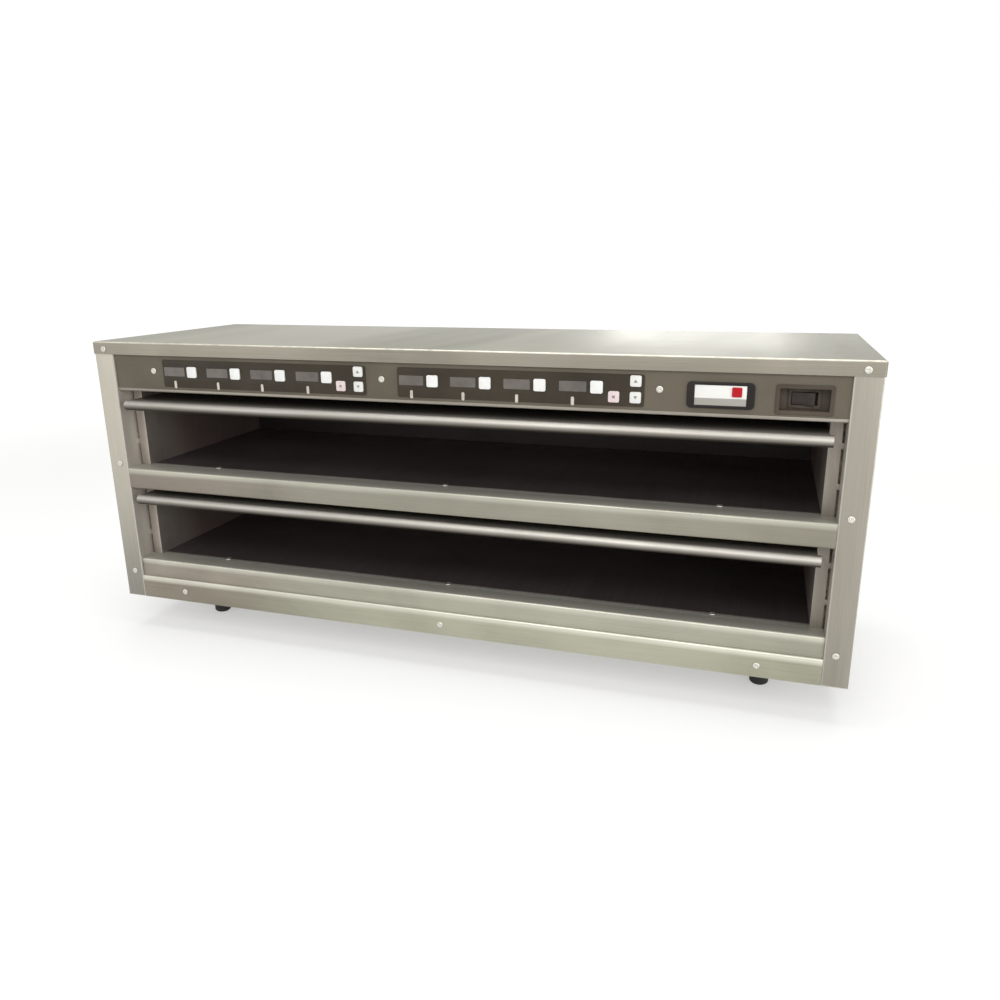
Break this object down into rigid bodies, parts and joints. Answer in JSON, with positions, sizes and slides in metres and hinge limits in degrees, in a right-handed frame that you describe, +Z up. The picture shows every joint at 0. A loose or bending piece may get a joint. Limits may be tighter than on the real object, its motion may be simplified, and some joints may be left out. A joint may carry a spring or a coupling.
{
  "type": "heated holding cabinet",
  "caption": "Tiered heated holding cabinet: stainless case on feet, open-front heated shelves, sliding pan covers, and a control panel with timer keypads and a rocker switch.",
  "frame": {"origin": "Centre of the bounding box in plan, at the underside of the feet.", "axes": "+X to the right as seen from the front, front towards -Y, +Z up."},
  "size_m": [1.183, 0.407, 0.5],
  "materials": {
    "stainless_steel": "brushed stainless sheet",
    "anodised_black": "dark hard-anodised plate",
    "grey_panel": "satin dark grey",
    "heater_silicone": "silicone heater mat",
    "screw_steel": "stainless screws and probes",
    "insulation": "mineral wool",
    "circuit_board": "glass-fibre board with parts",
    "terminal_plastic": "moulded terminal block",
    "black_plastic": "moulded black",
    "wire_jacket": "wire bundles",
    "keypad_film": "dark overlay",
    "display_window": "smoked window",
    "lamp_lens": "diffusing lens",
    "button_white": "white moulded",
    "key_white": "off-white moulded",
    "badge_white": "white with a grey strip",
    "red_lens": "red lens",
    "rocker_plastic": "black rocker",
    "foot_rubber": "black foot"
  },
  "bodies": {
    "cabinet": {"side_panel_left": "stainless_steel", "side_panel_right": "stainless_steel", "top_panel": "stainless_steel", "base_pan": "stainless_steel", "back_panel": "stainless_steel", "base_front_cover": "stainless_steel", "lower_rail": "stainless_steel", "middle_rail": "stainless_steel", "control_panel": "grey_panel", "panel_lip": "stainless_steel", "lower_shelf_plate": "anodised_black", "upper_shelf_plate": "anodised_black", "lower_heat_plate": "anodised_black", "upper_heat_plate": "anodised_black", "lower_liner_left": "stainless_steel", "lower_liner_right": "stainless_steel", "upper_liner_left": "stainless_steel", "upper_liner_right": "stainless_steel", "lower_rear_liner": "anodised_black", "upper_rear_liner": "anodised_black", "shelf_heaters": "heater_silicone", "top_heaters": "heater_silicone", "temperature_probes": "screw_steel", "wall_insulation": "insulation", "insulation_slabs": "insulation", "component_tray": "stainless_steel", "power_board": "circuit_board", "terminal_block": "terminal_plastic", "cable_gland": "black_plastic", "wiring": "wire_jacket", "left_keypad": "keypad_film", "right_keypad": "keypad_film", "display_windows": "display_window", "timer_lamps": "lamp_lens", "timer_boards": "circuit_board", "badge_bezel": "black_plastic", "badge_plate": "badge_white", "pilot_lens": "red_lens", "switch_pocket": "black_plastic", "switch_body": "black_plastic", "feet": "foot_rubber", "case_screws": "screw_steel", "shelf_screws": "screw_steel"},
    "timer_button_1": {"timer_button_1": "button_white"},
    "timer_button_2": {"timer_button_2": "button_white"},
    "timer_button_3": {"timer_button_3": "button_white"},
    "timer_button_4": {"timer_button_4": "button_white"},
    "timer_button_5": {"timer_button_5": "button_white"},
    "timer_button_6": {"timer_button_6": "button_white"},
    "timer_button_7": {"timer_button_7": "button_white"},
    "timer_button_8": {"timer_button_8": "button_white"},
    "left_key_1": {"left_key_1": "key_white"},
    "left_key_2": {"left_key_2": "key_white"},
    "left_key_3": {"left_key_3": "key_white"},
    "right_key_1": {"right_key_1": "key_white"},
    "right_key_2": {"right_key_2": "key_white"},
    "right_key_3": {"right_key_3": "key_white"},
    "switch_rocker": {"switch_rocker": "rocker_plastic"},
    "lower_pan_cover": {"lower_pan_cover": "stainless_steel"},
    "upper_pan_cover": {"upper_pan_cover": "stainless_steel"}
  },
  "joints": [
    {"name": "timer_button_1_press", "type": "slide", "parent": "cabinet", "child": "timer_button_1", "axis": [0, 1, 0], "range_m": [0, 0.001], "stiffness_N_per_m": 800},
    {"name": "timer_button_2_press", "type": "slide", "parent": "cabinet", "child": "timer_button_2", "axis": [0, 1, 0], "range_m": [0, 0.001], "stiffness_N_per_m": 800},
    {"name": "timer_button_3_press", "type": "slide", "parent": "cabinet", "child": "timer_button_3", "axis": [0, 1, 0], "range_m": [0, 0.001], "stiffness_N_per_m": 800},
    {"name": "timer_button_4_press", "type": "slide", "parent": "cabinet", "child": "timer_button_4", "axis": [0, 1, 0], "range_m": [0, 0.001], "stiffness_N_per_m": 800},
    {"name": "timer_button_5_press", "type": "slide", "parent": "cabinet", "child": "timer_button_5", "axis": [0, 1, 0], "range_m": [0, 0.001], "stiffness_N_per_m": 800},
    {"name": "timer_button_6_press", "type": "slide", "parent": "cabinet", "child": "timer_button_6", "axis": [0, 1, 0], "range_m": [0, 0.001], "stiffness_N_per_m": 800},
    {"name": "timer_button_7_press", "type": "slide", "parent": "cabinet", "child": "timer_button_7", "axis": [0, 1, 0], "range_m": [0, 0.001], "stiffness_N_per_m": 800},
    {"name": "timer_button_8_press", "type": "slide", "parent": "cabinet", "child": "timer_button_8", "axis": [0, 1, 0], "range_m": [0, 0.001], "stiffness_N_per_m": 800},
    {"name": "left_key_1_press", "type": "slide", "parent": "cabinet", "child": "left_key_1", "axis": [0, 1, 0], "range_m": [0, 0.001], "stiffness_N_per_m": 800},
    {"name": "left_key_2_press", "type": "slide", "parent": "cabinet", "child": "left_key_2", "axis": [0, 1, 0], "range_m": [0, 0.001], "stiffness_N_per_m": 800},
    {"name": "left_key_3_press", "type": "slide", "parent": "cabinet", "child": "left_key_3", "axis": [0, 1, 0], "range_m": [0, 0.001], "stiffness_N_per_m": 800},
    {"name": "right_key_1_press", "type": "slide", "parent": "cabinet", "child": "right_key_1", "axis": [0, 1, 0], "range_m": [0, 0.001], "stiffness_N_per_m": 800},
    {"name": "right_key_2_press", "type": "slide", "parent": "cabinet", "child": "right_key_2", "axis": [0, 1, 0], "range_m": [0, 0.001], "stiffness_N_per_m": 800},
    {"name": "right_key_3_press", "type": "slide", "parent": "cabinet", "child": "right_key_3", "axis": [0, 1, 0], "range_m": [0, 0.001], "stiffness_N_per_m": 800},
    {"name": "power_rocker", "type": "hinge", "parent": "cabinet", "child": "switch_rocker", "pos_m": [0.501, -0.1755, 0.448], "axis": [0, 0, 1], "range_deg": [0, 20]},
    {"name": "lower_cover_slide", "type": "slide", "parent": "cabinet", "child": "lower_pan_cover", "axis": [0, -1, 0], "range_m": [0, 0.3]},
    {"name": "upper_cover_slide", "type": "slide", "parent": "cabinet", "child": "upper_pan_cover", "axis": [0, -1, 0], "range_m": [0, 0.3]}
  ]
}
